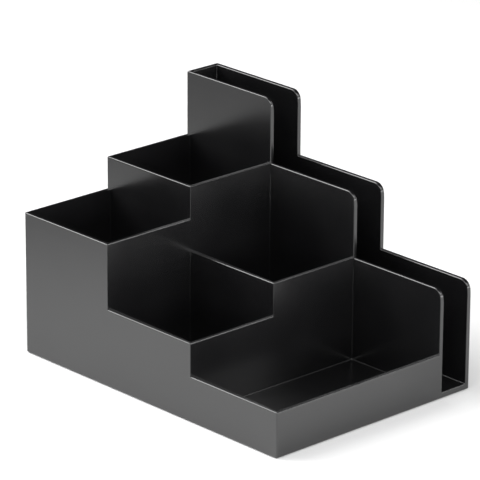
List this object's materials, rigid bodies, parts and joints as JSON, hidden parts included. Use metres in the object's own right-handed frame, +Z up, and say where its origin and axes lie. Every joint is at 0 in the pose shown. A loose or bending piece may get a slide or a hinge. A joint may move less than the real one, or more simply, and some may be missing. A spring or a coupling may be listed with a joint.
{
  "type": "desk organizer",
  "caption": "Open desk organizer whose cells step down from one tall end to a wide low tray, with a letter slot along the back that is open at its low end.",
  "frame": {"origin": "middle of the bounding box's bottom face: on the desk, under the middle of the footprint", "axes": "+X along the long front face from the tall end to the low end, +Y from the front face to the letter slot at the back, +Z up"},
  "size_m": [0.1616, 0.1142, 0.1106],
  "materials": {
    "body": "black injection-moulded polystyrene, semi-gloss, smooth, with polished rims",
    "foot": "dark grey rubber, matt"
  },
  "bodies": {
    "root": {"organizer_body": "body", "foot_front_left": "foot", "foot_front_right": "foot", "foot_rear_left": "foot", "foot_rear_right": "foot"}
  },
  "joints": []
}
